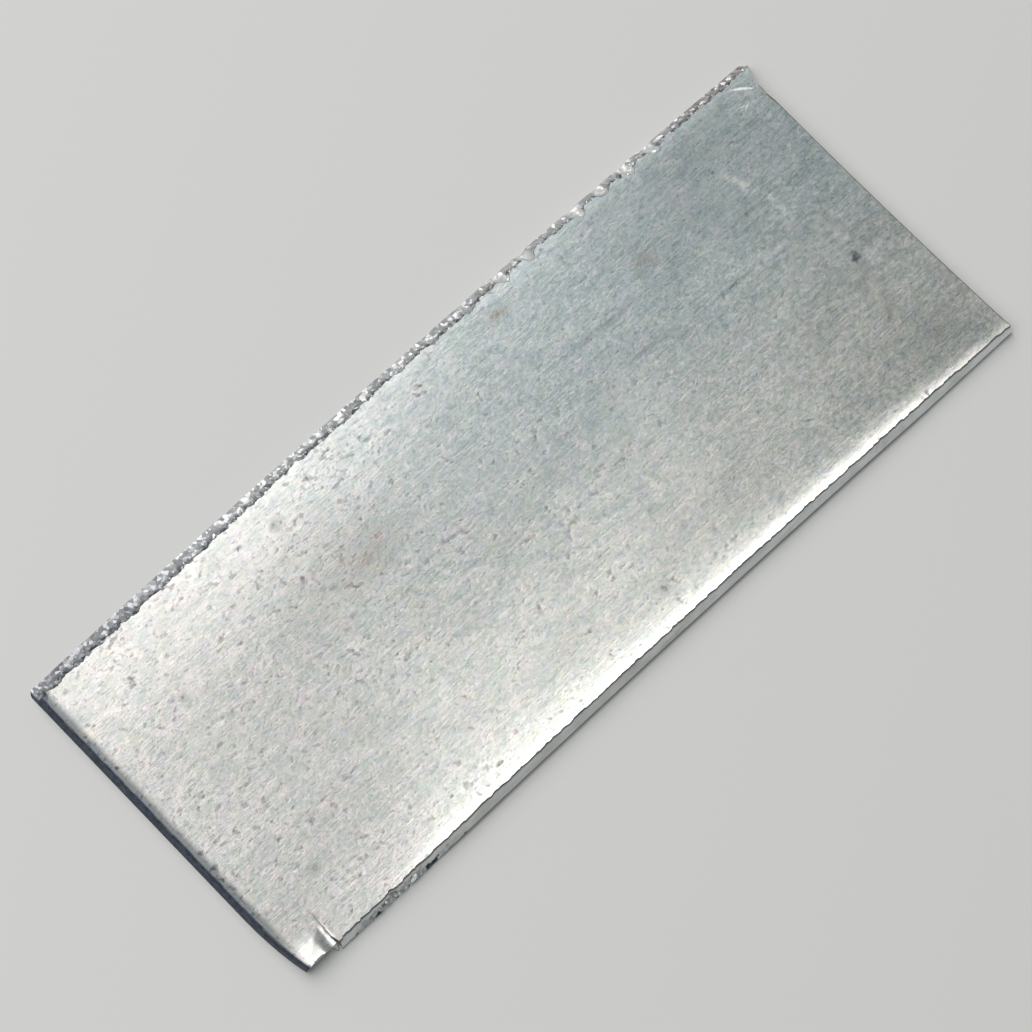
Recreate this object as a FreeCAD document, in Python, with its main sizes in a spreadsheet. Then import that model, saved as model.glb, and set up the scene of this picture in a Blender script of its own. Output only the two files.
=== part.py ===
import FreeCAD, Part
import os
import Sketcher

# An offcut of rolled zinc sheet, lying flat. X runs along the rolling direction, Y across it and
# Z up through the gauge. The origin is at the middle of the underside, on the plane that it rests on.
# It is made the way the real piece was: a rolled blank whose front lip curls up, trimmed along its
# four edges, torn at the front left corner, chipped along the broken back edge and rolled over at
# its left end.

# Each size in mm: its name, its value and what it measures.
SIZES = [
    ("sheet_length", 50.5, "along X, from the left cut to the tip of the right end"),
    ("sheet_width", 19.9, "along Y, from the front corners to the crown of the broken edge"),
    ("sheet_gauge", 0.7, "thickness of the rolled metal"),
    ("curl_left_width", 5.0, "width of the lip that curls up, at the left end"),
    ("curl_left_rise", 0.2, "how far the lip's edge rises at the left end"),
    ("curl_right_width", 1.8, "width of the lip at the right end"),
    ("curl_right_rise", 0.24, "how far the lip's edge rises at the right end"),
    ("front_run", 0.42, "how far the foot of the front cut stands out past its top, per gauge"),
    ("front_hollow", 0.27, "how far the front cut dips in at mid length"),
    ("back_run", 0.64, "how far the foot of the break stands out past its top, per gauge"),
    ("back_bow", 0.27, "how far the break swells out past a straight line, at mid length"),
    ("back_left_drop", 0.47, "how far the break's left end stands back from its crown"),
    ("back_right_drop", 0.13, "how far the break's right end stands back from its crown"),
    ("left_run", 0.1, "how far the foot of the left cut stands out past its top, per gauge"),
    ("left_corner_drop", 0.39, "how far the left cut turns in at the front corner"),
    ("left_corner_width", 3.7, "length of the left cut that turns in, along Y"),
    ("left_corner_bow", 0.08, "how far that turn swells out past a straight line"),
    ("right_run", 0.08, "how far the foot of the right cut stands out past its top, per gauge"),
    ("right_hollow", 0.11, "how far the right cut dips in past a straight line"),
    ("right_corner_drop", 0.15, "how far the front right corner stands back from the tip"),
    ("tip_reach", 0.66, "how far the tip at the back right corner points out past the right cut"),
    ("tip_width", 2.7, "length of the right cut that flares out to the tip, along Y"),
    ("tip_hollow", 0.26, "how far that flare dips in past a straight line"),
    ("tip_blunt_length", 0.45, "length of the tip's blunt corner, along X"),
    ("tip_blunt_width", 0.24, "width of the tip's blunt corner, along Y"),
    ("rollover_radius", 0.28, "radius that the shears left on the top edge of the left cut"),
    ("tear_place", 2.38, "from the left cut to the straight side of the tear"),
    ("tear_mouth", 0.25, "width of the tear where it opens at the front edge"),
    ("tear_depth", 1.75, "how far in from the front corners the tear reaches"),
    ("chip_radius", 0.3, "radius of each bite at the foot of the break"),
    ("chip_bite", 0.22, "how far each bite cuts in past the foot of the break"),
    ("chip_start", 12.5, "from mid length to the first bite of the row"),
    ("chip_pitch", 1.8, "spacing of the bites"),
    ("trim_allowance", 1.5, "spare metal all round the blank, which the trims take off"),
]

# Places of the bites along the break, in pitches from the first of the row: two stand apart.
CHIP_STEPS = (-3, -2, 0, 1, 2, 3)

HALF_LENGTH = "Sizes.sheet_length / 2"
HALF_WIDTH = "Sizes.sheet_width / 2"
ALLOWANCE = "Sizes.trim_allowance"
THROUGH = "Sizes.sheet_gauge * 3"
BLANK_END = f"({HALF_LENGTH} + {ALLOWANCE})"
BLANK_SIDE = f"({HALF_WIDTH} + {ALLOWANCE})"

LEAST_CUT = 1e-4  # mm3: a cut that takes off less than this has missed
TOUCHING = 1e-3  # mm: an edge this close to the top face lies in it


def add_sizes(doc):
    """Puts the driving sizes in a spreadsheet, one to a row, each with its alias."""
    sizes = doc.addObject("Spreadsheet::Sheet", "Sizes")
    for row, (alias, value, meaning) in enumerate(SIZES, start=1):
        sizes.set(f"A{row}", alias)
        sizes.set(f"B{row}", str(value))
        sizes.set(f"C{row}", meaning)
        sizes.setAlias(f"B{row}", alias)
    doc.recompute()
    return sizes


def origin_plane(body, role):
    """The body's own origin plane of that role."""
    return next(feature for feature in body.Origin.OriginFeatures if feature.Role == role)


def add_sketch(body, name, role):
    """A sketch on one of the body's origin planes."""
    sketch = body.newObject("Sketcher::SketchObject", name)
    sketch.AttachmentSupport = [(origin_plane(body, role), "")]
    sketch.MapMode = "FlatFace"
    return sketch


def number(sketch, expression):
    """What an expression in the sheet's sizes comes to, as a plain number of mm or degrees."""
    value = sketch.evalExpression(expression)
    return float(getattr(value, "Value", value))


def place_point(sketch, geometry, end, corner):
    """Ties one end of an edge to its corner, given as a pair of expressions."""
    for kind, expression in zip(("DistanceX", "DistanceY"), corner):
        index = sketch.addConstraint(
            Sketcher.Constraint(kind, -1, 1, geometry, end, number(sketch, expression))
        )
        sketch.setExpression(f"Constraints[{index}]", expression)


def draw_outline(sketch, corners, bulges):
    """Draws a closed outline through the corners, counterclockwise, and ties it to the sizes.

    bulges gives an arc's rise for the edge that starts at that corner, as (rise, sign): the rise is
    an expression, and the sign is 1 where the arc swells out of the outline and -1 where it dips in.
    """
    points = [
        FreeCAD.Vector(number(sketch, across), number(sketch, up), 0) for across, up in corners
    ]
    for index, start in enumerate(points):
        finish = points[(index + 1) % len(points)]
        if index not in bulges:
            edge = sketch.addGeometry(Part.LineSegment(start, finish), False)
            place_point(sketch, edge, 1, corners[index])
            continue
        rise, sign = bulges[index]
        chord = finish - start
        outward = FreeCAD.Vector(chord.y, -chord.x, 0).normalize()
        crown = (start + finish) / 2 + outward * sign * number(sketch, rise)
        arc = Part.Arc(start, crown, finish)
        edge = sketch.addGeometry(arc, False)
        # a Sketcher arc runs counterclockwise, so one that dips in starts at its far corner
        first_end = 1 if sign > 0 else 2
        place_point(sketch, edge, first_end, corners[index])
        chord_length = chord_expression(corners[index], corners[(index + 1) % len(corners)])
        radius = f"({chord_length}) ^ 2 / (8 * {rise}) + {rise} / 2"
        constraint = sketch.addConstraint(
            Sketcher.Constraint("Radius", edge, number(sketch, radius))
        )
        sketch.setExpression(f"Constraints[{constraint}]", radius)
    join_edges(sketch, len(points), bulges)


def chord_expression(start, finish):
    """The straight distance between two corners, as an expression."""
    across = f"(({finish[0]}) - ({start[0]}))"
    up = f"(({finish[1]}) - ({start[1]}))"
    return f"sqrt({across} ^ 2 + {up} ^ 2)"


def join_edges(sketch, count, bulges):
    """Joins each edge's far end to the near end of the next one."""
    for index in range(count):
        following = (index + 1) % count
        far = 1 if bulges.get(index, ("", 1))[1] < 0 else 2
        near = 2 if bulges.get(following, ("", 1))[1] < 0 else 1
        sketch.addConstraint(Sketcher.Constraint("Coincident", index, far, following, near))


def add_blank(body):
    """The flat part of the blank: one gauge thick, ending at the line where the lip starts to curl."""
    sketch = add_sketch(body, "BlankPlan", "XY_Plane")
    draw_outline(
        sketch,
        [
            (f"-{BLANK_END}", f"-{HALF_WIDTH} + Sizes.curl_left_width"),
            (BLANK_END, f"-{HALF_WIDTH} + Sizes.curl_right_width"),
            (BLANK_END, BLANK_SIDE),
            (f"-{BLANK_END}", BLANK_SIDE),
        ],
        {},
    )
    blank = body.newObject("PartDesign::Pad", "Blank")
    blank.Profile = sketch
    blank.setExpression("Length", "Sizes.sheet_gauge")
    return blank


def add_lip_section(body, name, side, width, rise):
    """The lip's section at one end of the blank: an arc tangent to the flat, one gauge thick."""
    sketch = add_sketch(body, name, "YZ_Plane")
    sketch.setExpression("AttachmentOffset.Base.z", f"{side} * {BLANK_END}")
    radius = f"({width} ^ 2 + {rise} ^ 2) / (2 * {rise})"
    root = f"-{HALF_WIDTH} + {width}"
    turn = f"asin(({width} + {ALLOWANCE}) / ({radius}))"
    inner = f"(({radius}) - Sizes.sheet_gauge)"
    half_turn_rise = f"(1 - cos(({turn}) / 2))"
    edge_top = (f"{root} - {inner} * sin({turn})", f"{radius} - {inner} * cos({turn})")
    edge_foot = (f"{root} - ({radius}) * sin({turn})", f"({radius}) * (1 - cos({turn}))")
    draw_outline(
        sketch,
        [edge_foot, (root, "0"), (root, "Sizes.sheet_gauge"), edge_top],
        {
            0: (f"(({radius}) * {half_turn_rise})", 1),
            2: (f"({inner} * {half_turn_rise})", -1),
        },
    )
    return sketch


def add_lip(body):
    """The lip along the front of the blank, wide and shallow at the left, narrow and steeper at the right."""
    left = add_lip_section(
        body, "LipLeft", -1, "Sizes.curl_left_width", "Sizes.curl_left_rise"
    )
    right = add_lip_section(
        body, "LipRight", 1, "Sizes.curl_right_width", "Sizes.curl_right_rise"
    )
    lip = body.newObject("PartDesign::AdditiveLoft", "Lip")
    lip.Profile = left
    lip.Sections = [right]
    lip.Ruled = True
    return lip


def cut_through(doc, body, name, sketch, run):
    """Cuts a sketch away, from the underside up, its sides leaning outwards by run per gauge.

    Raises RuntimeError if nothing came off.
    """
    doc.recompute()
    before = body.Shape.Volume
    cut = body.newObject("PartDesign::Pocket", name)
    cut.Profile = sketch
    cut.Reversed = True
    cut.setExpression("Length", THROUGH)
    if run:
        cut.setExpression("TaperAngle", f"atan({run} / Sizes.sheet_gauge)")
    doc.recompute()
    if body.Shape.Volume > before - LEAST_CUT:
        raise RuntimeError(f"{name} took nothing off")
    return cut


def trim(doc, body, name, corners, bulges, run):
    """Cuts an outline away, as cut_through does."""
    sketch = add_sketch(body, f"{name}Plan", "XY_Plane")
    draw_outline(sketch, corners, bulges)
    return cut_through(doc, body, name, sketch, run)


def trim_front(doc, body):
    """The shears' cut along the front: it dips in at mid length."""
    trim(
        doc,
        body,
        "FrontCut",
        [
            (f"{HALF_LENGTH}", f"-{HALF_WIDTH}"),
            (f"-{HALF_LENGTH}", f"-{HALF_WIDTH}"),
            (f"-{BLANK_END} - {ALLOWANCE}", f"-{HALF_WIDTH}"),
            (f"-{BLANK_END} - {ALLOWANCE}", f"-{BLANK_SIDE} - {ALLOWANCE}"),
            (f"{BLANK_END} + {ALLOWANCE}", f"-{BLANK_SIDE} - {ALLOWANCE}"),
            (f"{BLANK_END} + {ALLOWANCE}", f"-{HALF_WIDTH}"),
        ],
        {0: ("Sizes.front_hollow", 1)},
        "Sizes.front_run",
    )


def trim_back(doc, body):
    """The break along the back: it swells out between its ends, and is blunt at the right tip."""
    left = f"{HALF_WIDTH} - Sizes.back_left_drop"
    right = f"{HALF_WIDTH} - Sizes.back_right_drop"
    tip = f"{right} - Sizes.tip_blunt_width"
    trim(
        doc,
        body,
        "BackBreak",
        [
            (f"-{HALF_LENGTH}", left),
            (f"{HALF_LENGTH} - Sizes.tip_blunt_length", right),
            (HALF_LENGTH, tip),
            (f"{BLANK_END} + {ALLOWANCE}", tip),
            (f"{BLANK_END} + {ALLOWANCE}", f"{BLANK_SIDE} + {ALLOWANCE}"),
            (f"-{BLANK_END} - {ALLOWANCE}", f"{BLANK_SIDE} + {ALLOWANCE}"),
            (f"-{BLANK_END} - {ALLOWANCE}", left),
        ],
        {0: ("Sizes.back_bow", -1)},
        "Sizes.back_run",
    )


def trim_left(doc, body):
    """The shears' cut across the left end: straight, and turned in at the front corner."""
    end = f"-{HALF_LENGTH}"
    corner = f"{end} + Sizes.left_corner_drop"
    trim(
        doc,
        body,
        "LeftCut",
        [
            (corner, f"-{HALF_WIDTH}"),
            (end, f"-{HALF_WIDTH} + Sizes.left_corner_width"),
            (end, f"{BLANK_SIDE} + {ALLOWANCE}"),
            (f"-{BLANK_END} - {ALLOWANCE}", f"{BLANK_SIDE} + {ALLOWANCE}"),
            (f"-{BLANK_END} - {ALLOWANCE}", f"-{BLANK_SIDE} - {ALLOWANCE}"),
            (corner, f"-{BLANK_SIDE} - {ALLOWANCE}"),
        ],
        {0: ("Sizes.left_corner_bow", -1)},
        "Sizes.left_run",
    )


def trim_right(doc, body):
    """The cut across the right end: it dips in, and flares out to a tip at the back corner."""
    tip = f"{HALF_WIDTH} - Sizes.back_right_drop - Sizes.tip_blunt_width"
    corner = f"{HALF_LENGTH} - Sizes.right_corner_drop"
    trim(
        doc,
        body,
        "RightCut",
        [
            (HALF_LENGTH, tip),
            (f"{HALF_LENGTH} - Sizes.tip_reach", f"{tip} - Sizes.tip_width"),
            (corner, f"-{HALF_WIDTH}"),
            (corner, f"-{BLANK_SIDE} - {ALLOWANCE}"),
            (f"{BLANK_END} + {ALLOWANCE}", f"-{BLANK_SIDE} - {ALLOWANCE}"),
            (f"{BLANK_END} + {ALLOWANCE}", f"{BLANK_SIDE} + {ALLOWANCE}"),
            (HALF_LENGTH, f"{BLANK_SIDE} + {ALLOWANCE}"),
        ],
        {0: ("Sizes.tip_hollow", 1), 1: ("Sizes.right_hollow", 1)},
        "Sizes.right_run",
    )


def tear_corner(doc, body):
    """The tear in from the front edge near its left end: a wedge with one straight side."""
    side = f"-{HALF_LENGTH} + Sizes.tear_place"
    mouth = f"-{BLANK_SIDE}"
    trim(
        doc,
        body,
        "Tear",
        [
            (f"{side} - Sizes.tear_mouth", mouth),
            (side, mouth),
            (side, f"-{HALF_WIDTH} + Sizes.tear_depth"),
            (f"{side} - Sizes.tear_mouth", f"-{HALF_WIDTH}"),
        ],
        {},
        None,
    )


def break_line(across):
    """Where the foot of the break lies at a place along X: its chord plus its bow, as an expression."""
    share = f"(({across}) / Sizes.sheet_length + 0.5)"
    drop = f"(Sizes.back_left_drop * (1 - {share}) + Sizes.back_right_drop * {share})"
    return f"{HALF_WIDTH} - {drop} + 4 * Sizes.back_bow * {share} * (1 - {share})"


def chip_back(doc, body):
    """The bites in the break, each a round hollow whose side leans as the break does."""
    sketch = add_sketch(body, "ChipsPlan", "XY_Plane")
    for step in CHIP_STEPS:
        across = f"Sizes.chip_start + {step} * Sizes.chip_pitch"
        up = f"{break_line(across)} - Sizes.chip_bite + Sizes.chip_radius"
        middle = FreeCAD.Vector(number(sketch, across), number(sketch, up), 0)
        circle = sketch.addGeometry(
            Part.Circle(middle, FreeCAD.Vector(0, 0, 1), number(sketch, "Sizes.chip_radius")),
            False,
        )
        place_point(sketch, circle, 3, (across, up))
        index = sketch.addConstraint(
            Sketcher.Constraint("Radius", circle, number(sketch, "Sizes.chip_radius"))
        )
        sketch.setExpression(f"Constraints[{index}]", "Sizes.chip_radius")
    cut_through(doc, body, "Chips", sketch, "Sizes.back_run")


def roll_over_left(doc, body, sizes):
    """Rounds the top edge of the left cut."""
    trimmed = body.Tip
    reach = sizes.left_corner_drop + 2 * sizes.left_run
    end = reach - sizes.sheet_length / 2
    names = [
        f"Edge{place}"
        for place, edge in enumerate(trimmed.Shape.Edges, start=1)
        if edge.BoundBox.XMax < end and edge.BoundBox.ZMin > sizes.sheet_gauge - TOUCHING
    ]
    rollover = body.newObject("PartDesign::Fillet", "Rollover")
    rollover.Base = (trimmed, names)
    rollover.setExpression("Radius", "Sizes.rollover_radius")
    doc.recompute()


def add_sheet(doc, sizes):
    """The whole sheet, as one PartDesign body."""
    body = doc.addObject("PartDesign::Body", "ZincSheet")
    body.Label = "zinc_sheet"
    add_blank(body)
    add_lip(body)
    doc.recompute()
    trim_front(doc, body)
    trim_back(doc, body)
    trim_left(doc, body)
    trim_right(doc, body)
    tear_corner(doc, body)
    chip_back(doc, body)
    roll_over_left(doc, body, sizes)
    return body


def check(doc, bodies):
    """Raises RuntimeError if any object failed or any body isn't one sound solid."""
    for item in doc.Objects:
        if {"Invalid", "Error"} & set(item.State):
            raise RuntimeError(f"{item.Name} failed: {item.State}")
    for body in bodies:
        shape = body.Shape
        if shape.isNull() or not shape.isValid() or len(shape.Solids) != 1:
            raise RuntimeError(f"{body.Label} is not one sound solid")


def main():
    doc = FreeCAD.newDocument("ZincSheet")
    sizes = add_sizes(doc)
    bodies = [add_sheet(doc, sizes)]
    doc.recompute()
    check(doc, bodies)
    os.makedirs("parts", exist_ok=True)
    for body in bodies:
        box = body.Shape.optimalBoundingBox(False)
        print(body.Label, round(body.Shape.Volume, 3), "mm3", len(body.Shape.Faces), "faces")
        print("from", round(box.XMin, 3), round(box.YMin, 3), round(box.ZMin, 3))
        print("to", round(box.XMax, 3), round(box.YMax, 3), round(box.ZMax, 3))
        body.Shape.exportStep(f"parts/{body.Label}.step")


main()
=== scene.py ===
"""An offcut of rolled zinc sheet with one snapped edge, lying flat on a pale bench top."""

from itertools import product
from math import cos, pi, radians, sin

import bpy
import numpy as np
from mathutils import Matrix, Vector


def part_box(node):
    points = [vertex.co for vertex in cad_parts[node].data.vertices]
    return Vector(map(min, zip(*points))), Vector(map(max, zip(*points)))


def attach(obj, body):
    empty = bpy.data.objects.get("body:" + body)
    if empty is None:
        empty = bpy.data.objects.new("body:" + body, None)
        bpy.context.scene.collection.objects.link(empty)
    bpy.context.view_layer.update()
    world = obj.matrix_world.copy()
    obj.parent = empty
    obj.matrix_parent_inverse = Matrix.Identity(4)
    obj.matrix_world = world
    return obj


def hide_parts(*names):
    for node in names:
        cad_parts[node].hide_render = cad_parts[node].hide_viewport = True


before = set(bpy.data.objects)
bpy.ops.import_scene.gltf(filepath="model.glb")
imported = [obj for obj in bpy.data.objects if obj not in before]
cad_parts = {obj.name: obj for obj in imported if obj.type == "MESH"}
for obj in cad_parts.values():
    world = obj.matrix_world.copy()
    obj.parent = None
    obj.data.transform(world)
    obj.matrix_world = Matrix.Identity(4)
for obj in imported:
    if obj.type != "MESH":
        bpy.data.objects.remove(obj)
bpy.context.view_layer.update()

bl_info = {
    "name": "Zinc sheet offcut",
    "version": (1, 0, 0),
    "blender": (4, 5, 0),
    "location": "3D View > Sidebar > Zinc sheet",
    "description": "Builds an offcut of rolled zinc sheet and the bench top it lies on",
    "category": "Add Mesh",
}

MM = 0.001
CAD_LOW, CAD_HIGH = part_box("zinc_sheet")

# The sheet is laid out in mm, from the same sizes as its solid.
LENGTH = (CAD_HIGH.x - CAD_LOW.x) / MM
WIDTH = 19.9
HALF_LENGTH = LENGTH / 2
HALF_WIDTH = WIDTH / 2

# How far each edge face leans out from its top to its foot, in mm.
FRONT_LEAN = 0.42
BACK_LEAN = 0.64
LEFT_LEAN = 0.1
RIGHT_LEAN = 0.08

# How far in from an end its outline moves the sheet's points, in mm.
END_REACH = 6

# The straight side of the tear at the front left corner, along X in mm.
TEAR_SIDE = -HALF_LENGTH + 2.45

# The stretch of the front cut beside that corner, where the metal tore before the shears closed:
# its middle along X, and how far its rough grain and its flat tongue reach each way, in mm.
TORN_MIDDLE = -18.8
TORN_REACH = 4.6
TONGUE_REACH = 4.5


# ---------------------------------------------------------------------------------------------
# Sizes and colours that a user would change
# ---------------------------------------------------------------------------------------------


def length(name, description, millimetres):
    """A size in the panel, given in mm and kept in metres."""
    return bpy.props.FloatProperty(
        name=name, description=description, default=millimetres * MM, unit="LENGTH", precision=5
    )


def linear(colour):
    """An sRGB hex colour as linear red, green and blue."""
    value = np.array([int(colour[place : place + 2], 16) for place in (1, 3, 5)]) / 255
    return tuple(np.where(value <= 0.04045, value / 12.92, ((value + 0.055) / 1.055) ** 2.4))


def colour(name, description, hexadecimal):
    """A colour in the panel, given as sRGB hex and kept linear."""
    return bpy.props.FloatVectorProperty(
        name=name,
        description=description,
        default=linear(hexadecimal),
        subtype="COLOR",
        size=3,
        min=0,
        max=1,
    )


class SheetSettings(bpy.types.PropertyGroup):
    """Sizes and colours of the sheet."""

    gauge: length("Gauge", "Thickness of the rolled metal", 0.7)
    lip_left_width: length("Lip width, left", "Width of the curled front lip at the left", 5.0)
    lip_left_rise: length("Lip rise, left", "How far the lip's edge rises at the left", 0.2)
    lip_right_width: length("Lip width, right", "Width of the lip at the right", 1.8)
    lip_right_rise: length("Lip rise, right", "How far the lip's edge rises at the right", 0.24)
    rollover: length("Rollover", "Radius that the shears left on the left end's top edge", 0.28)
    tear_depth: length("Tear depth", "How far the tear at the front corner reaches in", 1.75)
    grain: length("Grain", "Width of a crystal facet in the broken edge", 0.24)
    zinc: colour("Zinc", "The rolled face under its bloom, at the right", "#C7CFD1")
    # Painted reflection: this neutral colour at the left stands in for the softbox's reflection.
    clean: colour("Clean zinc", "The face at the left, where the bloom is thinner", "#CAC8C6")
    # Painted highlight: this colour brightens the face along the lip.
    lip_highlight: colour("Bare zinc", "The face along the lip, where the bloom is thinnest", "#E2E1DD")
    cut: colour("Cut zinc", "The sheared front edge", "#F4F4F4")
    broken: colour("Broken zinc", "The crystals of the broken edges", "#D0D0D2")
    # Besides real tarnish, this colour takes the painted shade at the left end and on the break's
    # inner side.
    tarnish_and_shade: colour("Tarnish", "Dull oxide in the pits and the grain's gaps", "#5C6064")


class StudioSettings(bpy.types.PropertyGroup):
    """The bench top, the light and the camera."""

    bench: colour("Bench top", "The plain pale surface under the sheet", "#C5C4C3")
    softbox_strength: bpy.props.FloatProperty(
        name="Softbox", description="Radiance of the softbox", default=2.55, min=0
    )
    strip_strength: bpy.props.FloatProperty(
        name="Strip light",
        description="Radiance of the low strip light behind",
        default=0.35,
        min=0,
    )
    room_strength: bpy.props.FloatProperty(
        name="Room", description="Radiance of the room overhead", default=0.27, min=0
    )


# ---------------------------------------------------------------------------------------------
# Noise and facets
# ---------------------------------------------------------------------------------------------


# Squares along each side of a table of random values, after which it repeats.
CELLS = 256


def smooth_step(value, start, finish):
    """0 before start, 1 after finish, and an S curve between them."""
    share = np.clip((value - start) / (finish - start), 0, 1)
    return share * share * (3 - 2 * share)


def bump_at(value, middle, half_width):
    """1 at the middle, falling to 0 over the half width on either side."""
    return 1 - smooth_step(np.abs(value - middle), 0, half_width)


def noise(across, up, size, seed):
    """Smooth noise from -1 to 1: random values on a square grid, eased from one to the next."""
    table = np.random.default_rng(seed).uniform(-1, 1, (CELLS, CELLS))
    a = np.asarray(across) / size
    b = np.asarray(up) / size
    column = np.floor(a).astype(int)
    row = np.floor(b).astype(int)
    u = smooth_step(a - column, 0, 1)
    v = smooth_step(b - row, 0, 1)
    steps = product((0, 1), (0, 1))
    corner = [table[(column + i) % CELLS, (row + j) % CELLS] for i, j in steps]
    near = corner[0] * (1 - v) + corner[1] * v
    far = corner[2] * (1 - v) + corner[3] * v
    return near * (1 - u) + far * u


def facets(across, up, size, tilt, seed):
    """A crystalline surface: each point takes the tilted plane of the grain that is nearest.

    The grains' middles are a square grid, each moved at random within its square. Returns the
    height, about 0, where tilt is the steepest slope of a plane.
    """
    rng = np.random.default_rng(seed)
    place = rng.uniform(0.1, 0.9, (2, CELLS, CELLS))
    slope = rng.uniform(-tilt, tilt, (2, CELLS, CELLS))
    offset = rng.uniform(-0.5, 0.5, (CELLS, CELLS))
    column = np.floor(across / size).astype(int)
    row = np.floor(up / size).astype(int)
    nearest = np.full(np.shape(across), np.inf)
    height = np.zeros(np.shape(across))
    for i, j in product((-1, 0, 1), (-1, 0, 1)):
        cell = ((column + i) % CELLS, (row + j) % CELLS)
        from_middle = across - (column + i + place[0][cell]) * size
        above_middle = up - (row + j + place[1][cell]) * size
        distance = np.hypot(from_middle, above_middle)
        plane = slope[0][cell] * from_middle + slope[1][cell] * above_middle
        plane = plane + offset[cell] * size * tilt
        closer = distance < nearest
        nearest = np.where(closer, distance, nearest)
        height = np.where(closer, plane, height)
    return height


# ---------------------------------------------------------------------------------------------
# The sheet
# ---------------------------------------------------------------------------------------------


def bowed(start, finish, rise, share):
    """A line from start to finish that swells by rise half way, as a parabola."""
    return start + (finish - start) * share + 4 * rise * share * (1 - share)


def left_end(y):
    """Foot of the left cut at each y: straight, turned in towards the front, and rounded off at the
    back corner."""
    turned_length = 3.7
    turned_in = 0.39
    corner_y = 9.1
    share = np.clip((y + HALF_WIDTH) / turned_length, 0, 1)
    rounded = 0.25 * np.clip((y - corner_y) / 0.4, 0, 1) ** 2
    return -HALF_LENGTH + bowed(turned_in, 0, -0.08, share) + rounded


def right_end(y):
    """Foot of the right cut at each y: hollow, and flared to a tip at the back corner."""
    tip_y = HALF_WIDTH - 0.37
    neck_y = tip_y - 2.7
    neck_x = HALF_LENGTH - 0.52
    along = np.clip((y + HALF_WIDTH) / (neck_y + HALF_WIDTH), 0, 1)
    flare = np.clip((y - neck_y) / (tip_y - neck_y), 0, 1)
    straight = bowed(HALF_LENGTH - 0.15, neck_x, -0.11, along)
    return np.where(y < neck_y, straight, bowed(neck_x, HALF_LENGTH, -0.26, flare))


def front_foot(x):
    """Foot of the front cut at each x: it dips in half way along."""
    dip = 0.27
    share = np.clip(x / LENGTH + 0.5, 0, 1)
    return bowed(-HALF_WIDTH, -HALF_WIDTH, dip, share)


def back_foot(x):
    """Foot of the break at each x: it swells out, and is blunt at the right tip."""
    swell = 0.27
    tip_length = 0.45
    share = np.clip(x / (LENGTH - tip_length) + 0.5, 0, 1)
    blunt = 0.24 * smooth_step(x, HALF_LENGTH - tip_length, HALF_LENGTH)
    return bowed(HALF_WIDTH - 0.47, HALF_WIDTH - 0.13, swell, share) - blunt


def stations(length_of_run, fine, coarse, near, far):
    """Places from 0 to 1 along a run in mm: fine steps within near of its start and within far
    of its end, and coarse ones between, eased over a like distance."""
    tries = 4001
    places = np.linspace(0, length_of_run, tries)
    from_start = smooth_step(places, near, 2 * near + 0.5)
    from_end = smooth_step(length_of_run - places, far, 2 * far + 0.5)
    step = fine + (coarse - fine) * np.minimum(from_start, from_end)
    count = np.concatenate(([0], np.cumsum(1 / step[1:]) * places[1]))
    whole = int(round(count[-1]))
    return np.interp(np.linspace(0, count[-1], whole + 1), count, places) / length_of_run


def lip_rise(x, y, settings):
    """How far the curled front lip stands above the flat.

    It leaves the flat tangent, as a power of the distance past its root: an arc at the left, and
    closer to the edge towards the right. The last half millimetre turns up once more. All of it
    fades out towards both corners, and the torn left corner turns up by itself.
    """
    share = np.clip(x / LENGTH + 0.5, 0, 1)
    width = settings["lip_left_width"] * (1 - share) + settings["lip_right_width"] * share
    rise = settings["lip_left_rise"] * (1 - share) + settings["lip_right_rise"] * share
    past = np.clip(width - HALF_WIDTH - y, 0, None)
    power = 2 + 1.4 * share
    kept = smooth_step(x, -27, -12) * (1 - 0.75 * smooth_step(x, 16, 24))
    corner = np.clip(-8.0 - y, 0, None) ** 2 * (1 - smooth_step(x, -23.8, -23.2))
    along = smooth_step(x, -19, -13) * (1 - 0.6 * smooth_step(x, 21, 25))
    root = -8.78 - 0.25 * smooth_step(x, 10, 20)
    upturn = np.clip((root - y) / 0.6, 0, None) ** 2 * along
    return rise * (past / width) ** power * kept + 0.07 * corner + 0.04 * upturn


def face_fall(x, y):
    """How far the face lies below one gauge, in four parts: a shallow dish behind the lip, the bend
    towards the broken edge, the round of that edge's last millimetre, and one nick in the lip."""
    dish = 0.09 * (1 - smooth_step(y, -2.5, 7)) * smooth_step(y, -8.7, -2.5) * bump_at(x, -4, 21)
    bend = 0.16 * np.clip((y - HALF_WIDTH + 6.5) / 6.5, 0, None) ** 2 * bump_at(x, -15, 19)
    turn = 0.03 * np.clip((y - HALF_WIDTH + 1.3) / 1.3, 0, None) ** 2
    nick = 0.03 * bump_at(x, 19.1, 0.12) * (1 - smooth_step(y, -9.3, -9.1))
    return dish + bend + turn + nick


def tear(x, settings):
    """How far the tear moves the front edge in at each x: a narrow slit with one straight side."""
    mouth = 0.1
    within = (x > TEAR_SIDE - mouth) & (x < TEAR_SIDE)
    return np.where(within, settings["tear_depth"] * (x - TEAR_SIDE + mouth) / mouth, 0)


def torn_corner(x, y):
    """How far the metal beside the tear is pushed down: a facet below a slanting crease, and a thin
    turned-up burr along the tear itself."""
    crease = -9.1 + 0.68 * (x + 24.3)
    below = np.clip(crease - y, 0, 0.7)
    burr = 0.06 * bump_at(x, -22.98, 0.14) * (1 - smooth_step(y, -8.7, -8.25))
    return (0.06 * below - burr) * ((x > -24.4) & (x < TEAR_SIDE))


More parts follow.
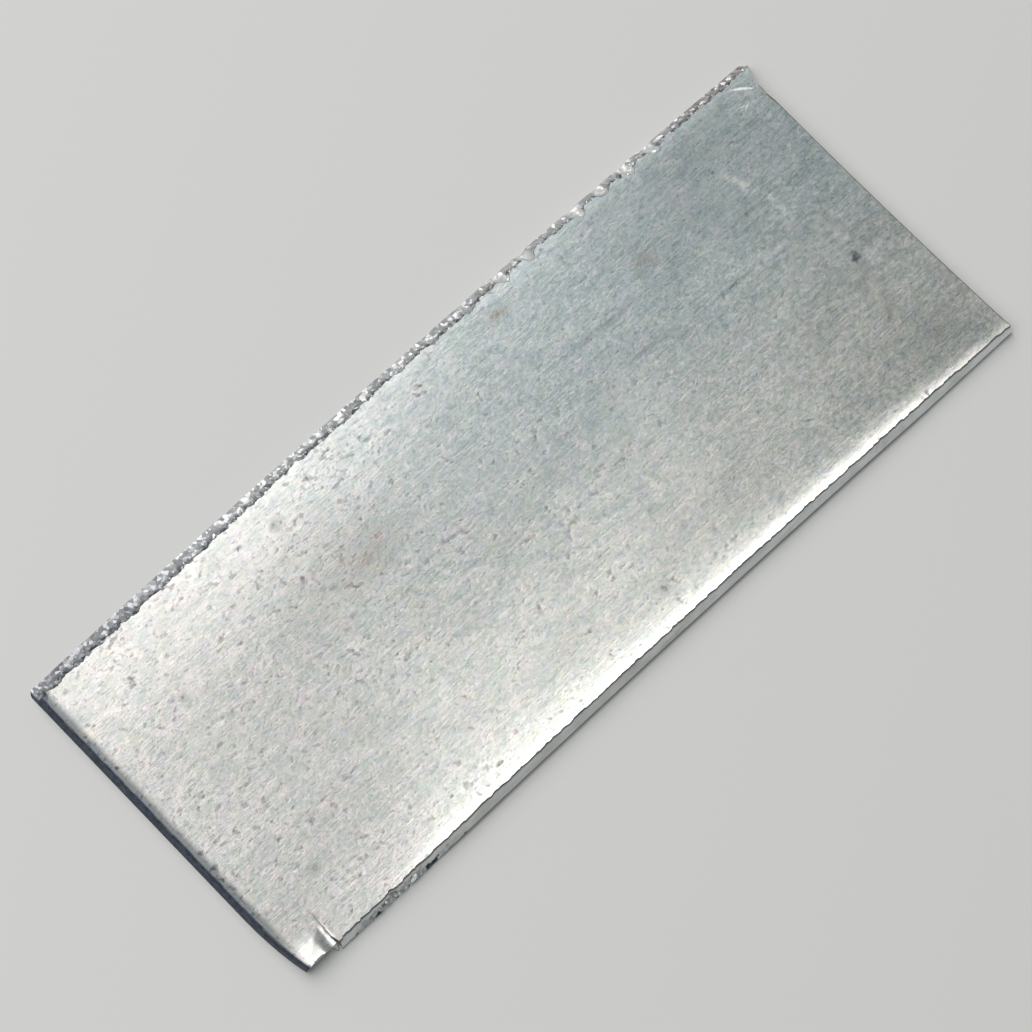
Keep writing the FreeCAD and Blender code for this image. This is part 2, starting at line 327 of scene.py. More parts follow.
# Bites in the break: place along X and depth into the face, in mm. The last six are the solid's.
BITES = (
    (-24.0, 0.06),
    (-21.1, 0.07),
    (-16.9, 0.08),
    (-11.6, 0.07),
    (-7.1, 0.09),
    (-4.3, 0.06),
    (-0.2, 0.1),
    (2.1, 0.12),
    (4.6, 0.12),
    (7.1, 0.3),
    (8.9, 0.34),
    (12.5, 0.36),
    (14.3, 0.2),
    (16.1, 0.32),
    (17.9, 0.26),
)


def bites(x):
    """How far the bites move the break in at each x: steep at the left, flat, and easing out at
    the right."""
    depth = np.zeros(np.shape(x))
    for place, bite in BITES:
        wall = np.clip((x - place + 0.5) / 0.42, 0, 1) - smooth_step(x, place + 0.12, place + 0.48)
        depth = np.maximum(depth, bite * wall)
    return depth


def sheet_points(x_share, y_share, level, settings):
    """The sheet's surface at shares along, across and up through it, in mm.

    Each end leans out towards its foot, and the lines along the sheet run evenly between its
    front and back edges. The top and the underside follow the lip's arc, except that the tongue
    beside the torn corner stays flat underneath. Only the torn corner's front edge is upright.
    """
    gauge = settings["gauge"]
    x_plan = -HALF_LENGTH + LENGTH * x_share
    front = front_foot(x_plan) + FRONT_LEAN * level
    back = back_foot(x_plan) - BACK_LEAN * level
    y_plan = front + (back - front) * y_share
    left_move = left_end(y_plan) + HALF_LENGTH + LEFT_LEAN * level
    right_move = right_end(y_plan) - HALF_LENGTH - RIGHT_LEAN * level
    x = x_plan + left_move * (1 - smooth_step(x_plan, -HALF_LENGTH, -HALF_LENGTH + END_REACH))
    x = x + right_move * smooth_step(x_plan, HALF_LENGTH - END_REACH, HALF_LENGTH)

    ragged = facets(x, 0 * x, 0.5, 0.1, 11) + 0.022 * noise(x, 0 * x, 0.16, 12)
    upright = 1 - smooth_step(x, -23.1, -22.9)
    front_run = FRONT_LEAN * (level + (1 - level) * upright)
    front = front_foot(x) + front_run + ragged * level + tear(x, settings)
    slope = 1 - (1 - level) ** 1.5
    back_run = 0.75 - 0.11 * smooth_step(x, -16, -8) - 0.13 * smooth_step(x, 2, 8)
    back = back_foot(x) - back_run * slope - bites(x) * (0.25 + 0.75 * level)
    back = back + (0.05 * noise(x, 0 * x, 0.7, 13) + facets(x, 0 * x, 0.3, 0.3, 14)) * level
    y = front + (back - front) * y_share

    rise = lip_rise(x, y, settings)
    tongue = bump_at(x, TORN_MIDDLE, TONGUE_REACH)
    wave = 0.008 * noise(x, y, 8, 15) + 0.003 * noise(x, y, 3, 16)
    fall = face_fall(x, y) + torn_corner(x, y)
    radius = settings["rollover"]
    in_from_left = np.clip(x - left_end(y) - LEFT_LEAN * level, 0, radius)
    rolled = radius - np.sqrt(radius**2 - (radius - in_from_left) ** 2)
    top = gauge + rise + wave - fall - rolled
    z = rise * (1 - tongue) * (1 - level) + top * level
    return np.stack([x, y, z], axis=-1)


def roughen_break(points, outward, grain, depth, seed, mask):
    """Moves the points of an edge face outward along Y, and up a little, by the height of its
    crystal facets: large ones, and small ones of half their width."""
    along = points[..., 0]
    up = points[..., 2] * 1.3
    large = facets(along, up, grain, tilt=0.9, seed=seed)
    small = facets(along + 40, up + 7, grain / 2, tilt=0.7, seed=seed + 1)
    move = (large + 0.6 * small) * depth * mask
    return points + move[..., None] * np.array([0, outward, 0.25])


def grid_faces(columns, rows, first):
    """Corner numbers of a grid's squares, column by column, for points numbered from first."""
    number = first + np.arange(columns * rows).reshape(columns, rows)
    corners = [number[:-1, :-1], number[1:, :-1], number[1:, 1:], number[:-1, 1:]]
    return np.stack(corners, axis=-1).reshape(-1, 4)


ROLLED, CUT, BROKEN, SMEARED_AND_SHADED = range(4)


def face_finish(name, x, y, level):
    """The finish of each square of one of the six grids, from its middle."""
    if name in ("top", "underside"):
        # Painted shade: the rolled-over strip at the left end takes the dark smeared finish.
        dragged_and_shaded = x - left_end(y) < 0.2 + 0.06 * noise(x, y, 0.5, 34)
        frayed = right_end(y) - RIGHT_LEAN - x < 0.05
        return np.where((name == "top") & (dragged_and_shaded | frayed), SMEARED_AND_SHADED, ROLLED)
    if name == "front":
        torn = bump_at(x, TORN_MIDDLE, TORN_REACH)
        grains = noise(x, 0.7 * level, 0.2, 32) + noise(x, 0 * x, 0.7, 33)
        bead = (level < 0.7 * torn) & (grains > 0.3)
        # Voids in the torn stretch take the dark smeared finish as painted shade.
        void = (level < 0.5 * torn) & (grains < -0.8)
        return np.where(bead, BROKEN, np.where(void, SMEARED_AND_SHADED, CUT))
    # The left end's face takes the smeared finish, dark with painted shade.
    return np.full(np.shape(x), {"back": BROKEN, "left": SMEARED_AND_SHADED, "right": CUT}[name])


def sheet_mesh(settings):
    """The sheet as one closed surface: six grids, of shares along, across and up, that meet at
    their rims. The roughness of an edge fades out at its rims, so that they still meet.

    Returns the points in metres, the faces, each face's finish, and each point's share of the way
    up and of the depth of the bite it lies in.
    """
    end_fade = 0.006
    along = stations(LENGTH, fine=0.045, coarse=0.085, near=0.5, far=0.3)
    across = stations(WIDTH, fine=0.08, coarse=0.75, near=0.9, far=0.6)
    up = stations(settings["gauge"], fine=0.06, coarse=0.06, near=0.1, far=0.1)
    sides = {
        "underside": (along, across, lambda a, b: (a, b, 0 * a), True),
        "top": (along, across, lambda a, b: (a, b, 0 * a + 1), False),
        "front": (along, up, lambda a, b: (a, 0 * a, b), False),
        "back": (along, up, lambda a, b: (a, 0 * a + 1, b), True),
        "left": (across, up, lambda a, b: (0 * a, a, b), True),
        "right": (across, up, lambda a, b: (0 * a + 1, a, b), False),
    }
    points, faces, finishes, levels, bitten = [], [], [], [], []
    count = 0
    for name, (first, second, shares, turned) in sides.items():
        a, b = np.meshgrid(first, second, indexing="ij")
        level = shares(a, b)[2]
        surface = sheet_points(*shares(a, b), settings)
        bite = np.clip(bites(surface[..., 0]) / 0.2, 0, 1)
        inside = smooth_step(a, 0, end_fade) * smooth_step(1 - a, 0, end_fade)
        inside = np.sin(pi * b) ** 0.5 * inside
        if name == "back":
            rough = inside * (0.25 + 0.75 * smooth_step(level, 0.2, 0.6)) * (1 - 0.5 * bite)
            surface = roughen_break(surface, 1, settings["grain"], 0.4, 21, rough)
        if name == "front":
            torn = bump_at(surface[..., 0], TORN_MIDDLE, TORN_REACH) * inside
            torn = torn * (1 - smooth_step(b, 0.3, 0.7))
            surface = roughen_break(surface, -1, settings["grain"], 1.3, 23, torn)
        quads = grid_faces(*a.shape, count)
        middle = (surface[:-1, :-1] + surface[1:, 1:]) / 2
        finish = face_finish(name, middle[..., 0], middle[..., 1], level[:-1, :-1])
        points.append(surface.reshape(-1, 3))
        faces.append(quads[:, ::-1] if turned else quads)
        finishes.append(finish.ravel())
        levels.append(level.ravel())
        bitten.append((bite if name == "back" else 0 * bite).ravel())
        count += a.size
    low = np.array(CAD_LOW) / MM
    high = np.array(CAD_HIGH) / MM
    points = np.clip(np.concatenate(points), low, high) * MM
    per_point = {"level": np.concatenate(levels), "bite": np.concatenate(bitten)}
    return points, np.concatenate(faces), np.concatenate(finishes), per_point


def add_mesh(name, points, faces, finishes, materials, per_point=None):
    """A mesh object from arrays of points, faces, each face's material and each point's values."""
    mesh = bpy.data.meshes.new(name)
    mesh.from_pydata(points.tolist(), [], faces.tolist())
    for material in materials:
        mesh.materials.append(material)
    mesh.polygons.foreach_set("material_index", np.asarray(finishes, dtype=np.int32))
    for label, values in (per_point or {}).items():
        mesh.attributes.new(label, "FLOAT", "POINT").data.foreach_set("value", values)
    mesh.update()
    piece = bpy.data.objects.new(name, mesh)
    bpy.context.collection.objects.link(piece)
    return piece


def weld(piece, distance):
    """Joins points closer than a distance, where grids meet, and turns the faces outwards."""
    bpy.context.view_layer.objects.active = piece
    for item in bpy.context.selected_objects:
        item.select_set(False)
    piece.select_set(True)
    bpy.ops.object.mode_set(mode="EDIT")
    bpy.ops.mesh.select_all(action="SELECT")
    bpy.ops.mesh.remove_doubles(threshold=distance)
    bpy.ops.mesh.normals_make_consistent(inside=False)
    bpy.ops.object.mode_set(mode="OBJECT")


# ---------------------------------------------------------------------------------------------
# Finishes
# ---------------------------------------------------------------------------------------------

# What the nodes are set to.
ADD = {"operation": "ADD"}
MULTIPLY = {"operation": "MULTIPLY"}
MULTIPLY_ADD = {"operation": "MULTIPLY_ADD"}
EASED = {"interpolation_type": "SMOOTHSTEP"}
SCALE = {"operation": "SCALE"}
MIX = {"data_type": "RGBA"}
METAL = 1.0

# Oxides, stains, marks, painted shade and painted highlights that no setting changes, from dark to
# pale.
GAP_TARNISH_AND_SHADE = (*linear("#2E3134"), 1)
SHADOW_LINE_BLUE_BLACK = (*linear("#353A44"), 1)
CUT_TOP_LINE_DARK = (*linear("#3A404A"), 1)
LEFT_SHADE_BLUE_GREY = (*linear("#4A505E"), 1)
PAINTED_SHADE_NAVY = (*linear("#4C5260"), 1)
BROWN_GRIME = (*linear("#7A6453"), 1)
BROWN_BURR = (*linear("#7E776C"), 1)
BROWN_STAIN = (*linear("#8C7A6B"), 1)
BURNISHED_GREY = (*linear("#A29C92"), 1)
RUBBED_ZINC = (*linear("#DCDAD4"), 1)
BITE_HIGHLIGHT_WHITE = (*linear("#F0F0EE"), 1)
SCRATCHED_ZINC = (*linear("#F8F7F4"), 1)


def add(tree, kind, settings, *inputs):
    """Adds a node with its settings and its inputs in order: values, or the nodes or sockets they
    come from. A node stands for the first of its outputs in use."""
    made = tree.nodes.new("ShaderNode" + kind)
    for name, value in settings.items():
        setattr(made, name, value)
    for socket, value in zip([item for item in made.inputs if item.enabled], inputs):
        if isinstance(value, bpy.types.Node):
            value = next(item for item in value.outputs if item.enabled)
        if isinstance(value, bpy.types.NodeSocket):
            tree.links.new(value, socket)
        else:
            socket.default_value = value
    return made


def new_material(name):
    """An empty material, its node tree and the place of each point on the object."""
    material = bpy.data.materials.new(name)
    material.use_nodes = True
    tree = material.node_tree
    tree.nodes.clear()
    return material, tree, add(tree, "TexCoord", {}).outputs["Object"]


def finish_metal(tree, base, rough, normal=None):
    """Ends a metal's nodes: its colour, roughness and relief go to the surface."""
    shader = add(tree, "BsdfPrincipled", {}, base, METAL, rough)
    if normal is not None:
        tree.links.new(normal.outputs[0], shader.inputs["Normal"])
    add(tree, "OutputMaterial", {}, shader)


def weighted(tree, start, *terms):
    """start and each value times its weight, added up."""
    total = start
    for weight, value in terms:
        total = add(tree, "Math", MULTIPLY_ADD, value, weight, total)
    return total


def stretched_noise(tree, place, size, detail=2.0):
    """Noise about 0 whose features are size = (along X, along Y) mm."""
    scale = (1 / (size[0] * MM), 1 / (size[1] * MM), 1 / (size[1] * MM))
    mapped = add(tree, "Mapping", {}, place, (0, 0, 0), (0, 0, 0), scale)
    return add(tree, "TexNoise", {"normalize": False}, mapped, 1.0, detail, 0.6)


def flecks(tree, place, size, coverage):
    """A mask of ragged flecks: the peaks of a noise, more of them where coverage is higher."""
    peaks = add(tree, "Math", ADD, stretched_noise(tree, place, size, 1.5), coverage)
    return add(tree, "MapRange", EASED, peaks, 0.25, 0.85, 0.0, 1.0)


# Marks on the face: middle in mm from the sheet's own middle, length and width in mm, angle in
# degrees from X, and strength.
DARK_MARKS = (
    ((18.5, 6.5), (17.0, 9.0), 0, 0.3),
    # The mark at the back left corner is painted shade on the rolled-over corner.
    ((-25.1, 9.3), (1.8, 1.7), 0, 2.0),
    ((9.8, 4.2), (5.5, 0.5), 0, 0.7),
    ((7.9, 4.3), (1.6, 0.5), 0, 0.4),
    ((19.0, 3.7), (3.4, 0.45), -2, 0.6),
    ((10.2, 1.9), (5.2, 0.4), -3, 0.55),
    ((16.0, 1.4), (3.8, 0.24), -2, 1.2),
    ((6.5, -1.7), (2.4, 0.3), -5, 0.5),
    ((21.6, -1.7), (0.9, 1.4), 10, 1.7),
    ((21.3, -2.9), (0.6, 1.6), -18, 0.8),
    ((20.5, -5.1), (0.8, 0.6), 30, 0.9),
    ((22.0, -7.2), (5.8, 2.6), 0, 0.5),
    ((19.0, 1.0), (1.2, 0.5), -5, 0.6),
    ((1.6, -7.6), (1.1, 0.9), 10, 0.9),
    ((4.0, -4.2), (0.7, 0.9), 80, 0.6),
    ((0.4, -4.2), (0.7, 0.6), 0, 0.6),
    ((-10.5, 7.6), (1.2, 0.9), 10, 0.8),
    ((-11.6, 6.0), (1.0, 0.6), 0, 0.6),
    ((-20.0, 4.2), (0.7, 0.6), 0, 0.9),
    ((-18.9, 2.0), (0.7, 0.4), 0, 0.9),
    ((-12.9, 0.4), (0.5, 0.9), 0, 0.7),
    ((-16.3, -0.1), (0.9, 0.6), 20, 0.6),
    ((-11.8, 4.4), (1.4, 0.3), 25, 0.8),
    ((-5.5, -4.5), (0.8, 0.7), 0, 0.7),
    ((-21.2, -6.2), (1.2, 1.0), 0, 0.6),
)
BROWN_MARKS = (
    ((-8.2, 3.4), (5.5, 3.0), 0, 0.55),
    ((-10.0, 4.6), (11.0, 6.0), 0, 0.35),
    ((5.5, 8.2), (1.9, 0.9), 0, 1.4),
    ((13.1, 5.3), (2.4, 1.4), 0, 1.0),
    ((20.8, -4.0), (2.0, 6.0), -12, 0.5),
    ((-4.2, -6.5), (3.0, 1.6), 0, 0.4),
)
PALE_MARKS = (
    ((20.0, 5.0), (0.8, 2.6), 20, 0.9),
    ((20.6, 3.0), (0.6, 3.0), 3, 0.9),
    ((21.6, 0.2), (0.8, 3.8), 22, 0.8),
    ((20.9, -3.8), (0.7, 3.4), -24, 0.8),
    ((22.3, -2.6), (0.6, 3.0), -10, 0.6),
    ((19.0, 1.3), (0.9, 0.5), 0, 0.9),
    ((20.3, -6.6), (1.0, 0.3), 0, 1.0),
)
SCRATCHES = (
    ((23.85, 8.65), (1.2, 0.16), -38, 3.0),
    ((23.5, 8.85), (0.8, 0.1), -38, 2.0),
    ((23.0, 8.0), (0.8, 0.1), -15, 0.8),
    ((23.3, 7.85), (0.7, 0.1), 20, 0.8),
    ((18.2, -6.65), (0.9, 0.12), 0, 0.8),
    ((5.2, -6.2), (1.4, 0.1), 0, 0.6),
    ((18.9, 1.35), (0.5, 0.12), -10, 0.8),
)


def marks(tree, place, table):
    """All the marks of a table as one mask: soft ovals, 0 at the rim and strong at the middle."""
    total = 0.0
    for middle, size, angle, strength in table:
        position = (middle[0] * MM, middle[1] * MM, 0.7 * MM)
        extent = (size[0] / 2 * MM, size[1] / 2 * MM, 2 * MM)
        turn = (0, 0, radians(angle))
        mapped = add(tree, "Mapping", {"vector_type": "TEXTURE"}, place, position, turn, extent)
        oval = add(tree, "TexGradient", {"gradient_type": "SPHERICAL"}, mapped).outputs["Fac"]
        total = add(tree, "Math", MULTIPLY_ADD, oval, strength, total)
    return total


def rolled_zinc(sheet):
    """Rolled zinc: bright when new, now under a thin grey bloom, pitted, and streaked by the rolls.

    The real streaks are a few thousandths of a millimetre wide, too fine to show, so they are drawn
    0.06 mm wide and about 1 mm long, with a few broader ones. The bloom mottles the face in patches
    of 0.1 to 5 mm, tinted a little one way or the other. The face also carries painted light: a
    painted highlight along the lip, a painted reflection of the softbox's neutral tint at the left,
    and painted shade that darkens it towards the right and at the rolled-over left end. The pits
    are
    0.1 to 0.5 mm across, and thickest in the left half.
    """
    material, tree, place = new_material("Rolled zinc, weathered")
    parts = add(tree, "SeparateXYZ", {}, place)
    along, across = parts.outputs[0], parts.outputs[1]

    streak = stretched_noise(tree, place, (1.3, 0.06))
    long_streak = stretched_noise(tree, place, (5.0, 0.2))
    speckle = stretched_noise(tree, place, (0.18, 0.11))
    mottle = stretched_noise(tree, place, (0.36, 0.26), 3.0)
    patch = stretched_noise(tree, place, (1.1, 0.8))
    cloud = stretched_noise(tree, place, (5.0, 3.0))

    to_left = add(tree, "MapRange", EASED, along, 8 * MM, -8 * MM, -0.2, -0.04)
    coverage = weighted(tree, to_left, (0.25, cloud), (0.25, patch))
    large_pits = flecks(tree, place, (0.5, 0.38), coverage)
    small_pits = flecks(tree, place, (0.26, 0.2), coverage)
    pits = weighted(tree, 0.0, (1.0, large_pits), (0.7, small_pits))
    broken_up = weighted(tree, 0.9, (1.2, mottle))
    dark_marks = add(tree, "Math", MULTIPLY, marks(tree, place, DARK_MARKS), broken_up)
    brown = add(tree, "Math", MULTIPLY, marks(tree, place, BROWN_MARKS), broken_up)
    pale = add(tree, "Math", MULTIPLY, marks(tree, place, PALE_MARKS), broken_up)
    # Painted shade: the last half millimetre at the left end darkens into the tarnish colour.
    left_end_shade = add(tree, "MapRange", EASED, along, -24.45 * MM, -25.0 * MM, 0.0, 1.5)
    dark = weighted(tree, left_end_shade, (0.75, pits), (1.2, dark_marks))

    # Painted shade: the face is darkened by a quarter from x = -8 mm to the right end.
    shade_to_right = add(tree, "MapRange", EASED, along, -8 * MM, 24 * MM, 1.0, 0.76)
    tone = weighted(
        tree,
        shade_to_right,
        (0.1, streak),
        (0.06, long_streak),
        (0.07, speckle),
        (0.12, mottle),
        (0.09, patch),
        (0.04, cloud),
    )
    tint = (1, 1, 1)
    for spots, amount in (
        (speckle, (0.04, 0.03, 0.04)),
        (mottle, (0.06, 0.04, 0.06)),
        (patch, (0.05, 0.03, 0.04)),
    ):
        tint = add(tree, "VectorMath", MULTIPLY_ADD, spots.outputs["Color"], amount, tint)

    # Painted highlight: over the lip, from the left third on, the face is mixed towards the lip
    # highlight colour.
    lip = add(tree, "MapRange", EASED, across, 5 * MM, -6.5 * MM, 0.0, 1.0)
    from_left = add(tree, "MapRange", EASED, along, -20 * MM, -9 * MM, 0.0, 1.0)
    thin = add(tree, "Math", MULTIPLY, lip, from_left)
    # Painted reflection: the face turns from the neutral clean colour at the left to the zinc's
    # cyan at the right.
    to_right = add(tree, "MapRange", EASED, along, -20 * MM, 14 * MM, 0.0, 1.0)
    base = add(tree, "Mix", MIX, to_right, (*sheet.clean, 1), (*sheet.zinc, 1)).outputs[2]
    base = add(tree, "Mix", MIX, thin, base, (*sheet.lip_highlight, 1)).outputs[2]
    base = add(tree, "VectorMath", MULTIPLY, base, tint)
    base = add(tree, "VectorMath", SCALE, base, tone)
    # Pits, marks and the left end's painted shade darken the face into the tarnish colour.
    tarnish_and_left_shade = add(tree, "Math", MULTIPLY, dark, 0.62)
    base = add(tree, "Mix", MIX, tarnish_and_left_shade, base, (*sheet.tarnish_and_shade, 1)).outputs[2]
    stained = add(tree, "Math", MULTIPLY, brown, 0.42)
    base = add(tree, "Mix", MIX, stained, base, BROWN_STAIN).outputs[2]
    rubbed = add(tree, "Math", MULTIPLY, pale, 0.7)
    base = add(tree, "Mix", MIX, rubbed, base, RUBBED_ZINC).outputs[2]
    scratches = marks(tree, place, SCRATCHES)
    base = add(tree, "Mix", MIX, scratches, base, SCRATCHED_ZINC).outputs[2]

    rough = weighted(tree, 0.325, (0.02, cloud), (0.1, dark), (0.05, speckle))
    height = weighted(tree, 0.0, (0.4, streak), (0.4, speckle), (0.7, mottle), (-1.4, pits))
    relief = 0.0016 * MM
    bump = add(tree, "Bump", {}, 1.0, relief)
    tree.links.new(height.outputs[0], bump.inputs["Height"])
    finish_metal(tree, base, rough, bump)
    return material


def cut_zinc(sheet):
    """Sheared zinc: the blade drags it smooth and dull, with faint upright lines 0.1 mm apart.

    A dark line runs along its top, and it is cleaner towards the right.
    """
    material, tree, place = new_material("Sheared zinc")
    level = add(tree, "Attribute", {"attribute_name": "level"}).outputs["Fac"]
    along = add(tree, "SeparateXYZ", {}, place).outputs[0]
    lines = stretched_noise(tree, place, (0.12, 0.9))
    patches = stretched_noise(tree, place, (1.6, 0.5))
    cleaner = add(tree, "MapRange", EASED, along, -5 * MM, 18 * MM, 0.25, 0.05)
    burnt = weighted(tree, cleaner, (0.25, patches))
    base = add(tree, "Mix", MIX, burnt, (*sheet.cut, 1), BURNISHED_GREY).outputs[2]
    # A dark line along the top of the cut.
    top_line = add(tree, "MapRange", EASED, level, 0.72, 0.92, 0.0, 0.85)
    base = add(tree, "Mix", MIX, top_line, base, CUT_TOP_LINE_DARK).outputs[2]
    relief = 0.004 * MM
    bump = add(tree, "Bump", {}, 1.0, relief)
    tree.links.new(lines.outputs[0], bump.inputs["Height"])
    finish_metal(tree, base, rough=0.5, normal=bump)
    return material


def broken_zinc(sheet):
    """Broken zinc: coarse crystals about 0.2 mm across, each a small tilted mirror.

    Painted shade darkens the inner side of the break and the gaps between its crystals, more so
    towards the left, and a painted shadow line runs along its top rim. There is brown grime at the
    right tip. A bite is smooth and carries a painted highlight; the few grains in the front cut are
    bright.
    """
    crystal_size = 0.2 * MM
    material, tree, place = new_material("Broken zinc crystals")
    level = add(tree, "Attribute", {"attribute_name": "level"}).outputs["Fac"]
    bite = add(tree, "Attribute", {"attribute_name": "bite"}).outputs["Fac"]
    parts = add(tree, "SeparateXYZ", {}, place)
    along, across = parts.outputs[0], parts.outputs[1]
    scale = (1 / crystal_size,) * 3
    mapped = add(tree, "Mapping", {}, place, (0, 0, 0), (0, 0, 0), scale)
    crystal = add(tree, "TexVoronoi", {}, mapped, 1.0)
    gap = add(tree, "TexVoronoi", {"feature": "DISTANCE_TO_EDGE"}, mapped, 1.0)
    chance = add(tree, "SeparateColor", {}, crystal.outputs["Color"])
    clean = add(tree, "MapRange", EASED, bite, 0.2, 0.7, 1.0, 0.55)
    # Painted shade: the inner, upper side of the back break is darkened, less in bites and at the
    # front; the dull crystals and the gaps darken with it.
    inner = add(tree, "MapRange", EASED, level, 0.3, 0.75, 0.3, 1.0)
    shaded = add(tree, "Math", MULTIPLY, inner, clean)
    at_back = add(tree, "MapRange", EASED, across, -1 * MM, 1 * MM, 0.15, 1.0)
    shaded = add(tree, "Math", MULTIPLY, shaded, at_back)
    dull = add(tree, "MapRange", EASED, chance.outputs[0], 0.1, 0.85, 1.0, 0.0)
    dull = add(tree, "Math", MULTIPLY, dull, shaded)
    base = add(tree, "Mix", MIX, dull, (*sheet.broken, 1), (*sheet.tarnish_and_shade, 1)).outputs[2]
    # Tarnish in the gaps between crystals, deepened by the inner side's painted shade.
    dark_gap = add(tree, "MapRange", EASED, gap, 0.0, 0.12, 0.7, 0.0)
    dark_gap = add(tree, "Math", MULTIPLY, dark_gap, shaded)
    base = add(tree, "Mix", MIX, dark_gap, base, GAP_TARNISH_AND_SHADE).outputs[2]
    # Painted highlight: the smooth bites are painted near-white.
    bright = add(tree, "MapRange", EASED, bite, 0.4, 0.9, 0.0, 0.5)
    base = add(tree, "Mix", MIX, bright, base, BITE_HIGHLIGHT_WHITE).outputs[2]
    # Painted shadow: a dark blue-black line along the break's top rim.
    rim = add(tree, "MapRange", EASED, level, 0.86, 1.0, 0.0, 0.6)
    base = add(tree, "Mix", MIX, rim, base, SHADOW_LINE_BLUE_BLACK).outputs[2]
    # Painted shade: the back of the break darkens to blue-grey towards the left end.
    to_left = add(tree, "MapRange", EASED, along, -8 * MM, -24 * MM, 0.0, 0.4)
    to_left = add(tree, "Math", MULTIPLY, to_left, at_back)
    base = add(tree, "Mix", MIX, to_left, base, LEFT_SHADE_BLUE_GREY).outputs[2]
    to_tip = add(tree, "MapRange", EASED, along, 18 * MM, 22 * MM, 0.0, 1.0)
    brown = add(tree, "MapRange", EASED, chance.outputs[1], 0.3, 0.8, 0.1, 0.5)
    brown = add(tree, "Math", MULTIPLY, brown, to_tip)
    base = add(tree, "Mix", MIX, brown, base, BROWN_GRIME).outputs[2]
    tint = crystal.outputs["Color"]
    tilt = add(tree, "VectorMath", MULTIPLY_ADD, tint, (0.8, 0.8, 0.8), (-0.4, -0.4, -0.3))
    tilt = add(tree, "VectorMath", SCALE, tilt, clean)
    face = add(tree, "NewGeometry", {}).outputs["Normal"]
    leaning = add(tree, "VectorMath", ADD, face, tilt)
    normal = add(tree, "VectorMath", {"operation": "NORMALIZE"}, leaning)
    finish_metal(tree, base, rough=0.42, normal=normal)
    return material


def smeared_and_shaded_zinc():
    """Zinc that the shears pulled over: painted blue-black shade at the left end and in the torn
    front cut's voids, and a brownish burr at the right."""
    material, tree, place = new_material("Sheared zinc, dragged over")
    along = add(tree, "SeparateXYZ", {}, place).outputs[0]
    right = add(tree, "MapRange", EASED, along, -5 * MM, 5 * MM, 0.0, 1.0)
    # Painted shade: dark blue-black at the left end, turning to the brown burr at the right.
    base = add(tree, "Mix", MIX, right, PAINTED_SHADE_NAVY, BROWN_BURR).outputs[2]
    smear = stretched_noise(tree, place, (0.5, 0.3))
    tone = weighted(tree, 1.0, (0.5, smear))
    base = add(tree, "VectorMath", SCALE, base, tone)
    finish_metal(tree, base, rough=0.45)
    return material


class ZINC_OT_sheet(bpy.types.Operator):
    """Builds the zinc sheet"""

    bl_idname = "zinc.sheet"
    bl_label = "Zinc sheet"

    def execute(self, context):
        sheet = context.scene.zinc_sheet
        names = (
            "gauge",
            "lip_left_width",
            "lip_left_rise",
            "lip_right_width",
            "lip_right_rise",
            "rollover",
            "tear_depth",
            "grain",
        )
        settings = {name: getattr(sheet, name) / MM for name in names}
        points, faces, finishes, per_point = sheet_mesh(settings)
        materials = [rolled_zinc(sheet), cut_zinc(sheet), broken_zinc(sheet), smeared_and_shaded_zinc()]
        piece = add_mesh("rolled_sheet", points, faces, finishes, materials, per_point)
        weld(piece, distance=0.0005 * MM)
        mesh = piece.data
        finish = np.zeros(len(mesh.polygons), dtype=np.int32)
        mesh.polygons.foreach_get("material_index", finish)
        mesh.polygons.foreach_set("use_smooth", finish != BROKEN)
        mesh.set_sharp_from_angle(angle=radians(40))
        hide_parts("zinc_sheet")
        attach(piece, "root")
        return {"FINISHED"}


# ---------------------------------------------------------------------------------------------
# Bench top, light and camera
# ---------------------------------------------------------------------------------------------


def bench_top(studio):
    """Matt pale grey laminate: plain, with no sheen to speak of."""
    rough = 0.6
    material, tree, _ = new_material("Matt laminate")
    shader = add(tree, "BsdfPrincipled", {}, (*studio.bench, 1), 0.0, rough)
    add(tree, "OutputMaterial", {}, shader)
    return material


def aim(item, position, target, roll=0.0):
    """Stands an item at a position, facing the target, turned by roll about its line of sight."""
    back = (position - target).normalized()
    level = Vector((0, 0, 1)).cross(back).normalized()
    upright = back.cross(level)
    right = cos(roll) * level + sin(roll) * upright
    up = back.cross(right)
    turn = Matrix((right, up, back)).transposed().to_4x4()
    item.matrix_world = Matrix.Translation(position) @ turn


def direction(azimuth, tilt):
    """The unit vector at an azimuth from +X and a tilt from +Z."""
    return Vector((sin(tilt) * cos(azimuth), sin(tilt) * sin(azimuth), cos(tilt)))


def panel_lamp(name, size, tint, radiance, azimuth, tilt):
    """An even rectangular lamp that faces the sheet, with its size in metres and its place in
    degrees. Its power is its radiance times pi times its area."""
    distance = 0.6
    light = bpy.data.lights.new(name, "AREA")
    light.shape = "RECTANGLE"
    light.size = size[0]
    light.size_y = size[1]
    light.color = linear(tint)
    light.energy = radiance * pi * light.size * light.size_y
    lamp = bpy.data.objects.new(name, light)
    bpy.context.collection.objects.link(lamp)
    aim(lamp, distance * direction(radians(azimuth), radians(tilt)), Vector((0, 0, 0)))
    return lamp


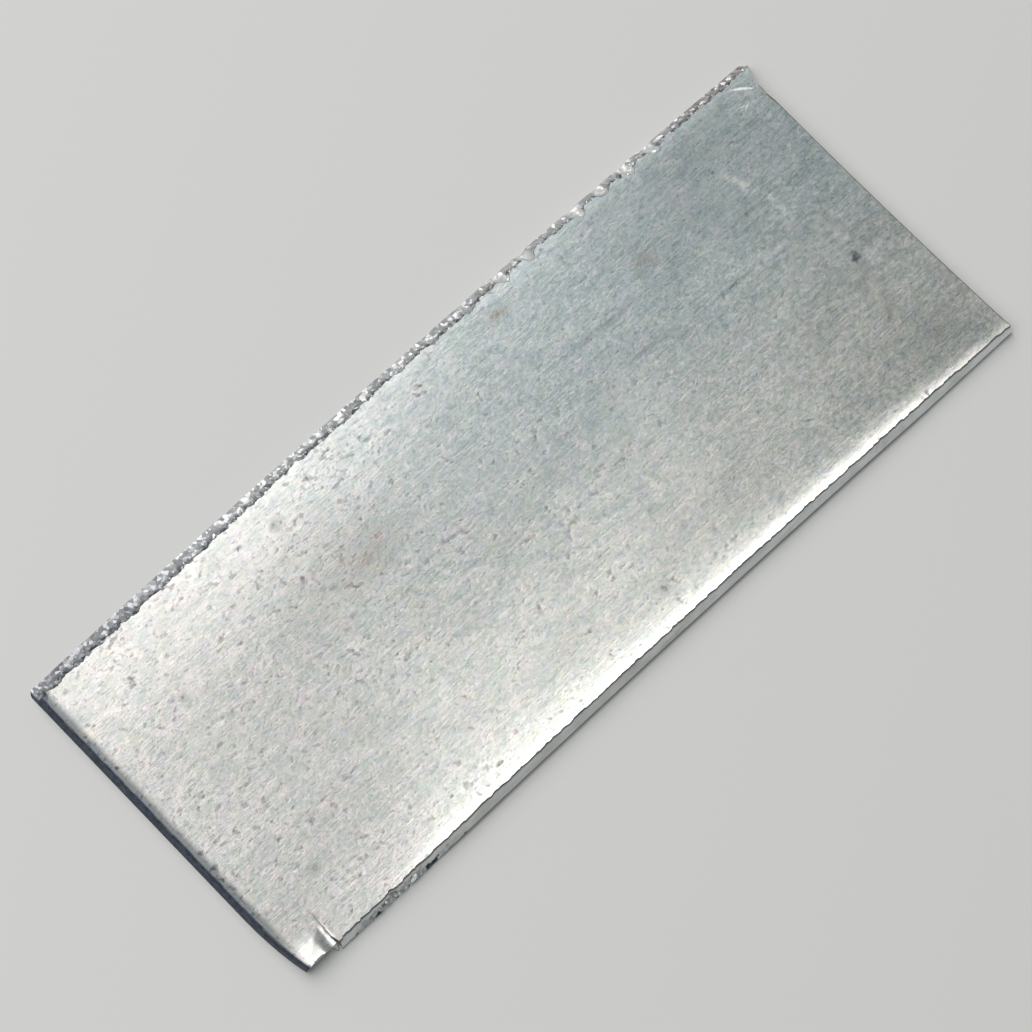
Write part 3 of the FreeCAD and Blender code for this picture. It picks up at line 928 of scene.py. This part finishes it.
class ZINC_OT_studio(bpy.types.Operator):
    """Builds the bench top, the light and the camera"""

    bl_idname = "zinc.studio"
    bl_label = "Bench top, light and camera"

    def execute(self, context):
        studio = context.scene.zinc_studio
        reach = 3.0
        corners = reach * np.array([[-1, -1, 0], [1, -1, 0], [1, 1, 0], [-1, 1, 0]])
        floor = add_mesh("bench_top", corners, np.array([[0, 1, 2, 3]]), [0], [bench_top(studio)])

        softbox = panel_lamp("softbox", (1.3, 0.62), "#FFFCF9", studio.softbox_strength, 115, 32)
        strip = panel_lamp("strip_light", (1.3, 0.5), "#FFFFFF", studio.strip_strength, 95, 65)

        world = bpy.data.worlds.new("room")
        context.scene.world = world
        world.use_nodes = True
        background = world.node_tree.nodes["Background"]
        background.inputs["Color"].default_value = (*linear("#D6EBEC"), 1)
        background.inputs["Strength"].default_value = studio.room_strength

        view = bpy.data.cameras.new("camera")
        view.lens = 174.4
        view.sensor_width = 36
        camera = bpy.data.objects.new("camera", view)
        context.collection.objects.link(camera)
        target = Vector((-1.071, 0.119, 0)) * MM
        distance = 246.9 * MM
        sight = direction(radians(-159.92), radians(21.38))
        aim(camera, target + distance * sight, target, roll=radians(26.78))
        context.scene.camera = camera
        context.scene.view_settings.view_transform = "Standard"
        return {"FINISHED"}


class ZINC_PT_panel(bpy.types.Panel):
    """Lists the sheet's and the studio's settings and builders"""

    bl_label = "Zinc sheet"
    bl_space_type = "VIEW_3D"
    bl_region_type = "UI"
    bl_category = "Zinc sheet"

    def draw(self, context):
        layout = self.layout
        layout.operator("zinc.sheet")
        for name in SheetSettings.__annotations__:
            layout.prop(context.scene.zinc_sheet, name)
        layout.operator("zinc.studio")
        for name in StudioSettings.__annotations__:
            layout.prop(context.scene.zinc_studio, name)


CLASSES = (SheetSettings, StudioSettings, ZINC_OT_sheet, ZINC_OT_studio, ZINC_PT_panel)


def register():
    """Makes the settings, the builders and the panel known."""
    for item in CLASSES:
        bpy.utils.register_class(item)
    bpy.types.Scene.zinc_sheet = bpy.props.PointerProperty(type=SheetSettings)
    bpy.types.Scene.zinc_studio = bpy.props.PointerProperty(type=StudioSettings)


def unregister():
    """Takes them away again."""
    del bpy.types.Scene.zinc_sheet
    del bpy.types.Scene.zinc_studio
    for item in reversed(CLASSES):
        bpy.utils.unregister_class(item)


def main():
    """Builds the scene."""
    register()
    bpy.ops.zinc.sheet()
    bpy.ops.zinc.studio()


if __name__ == "__main__":
    main()
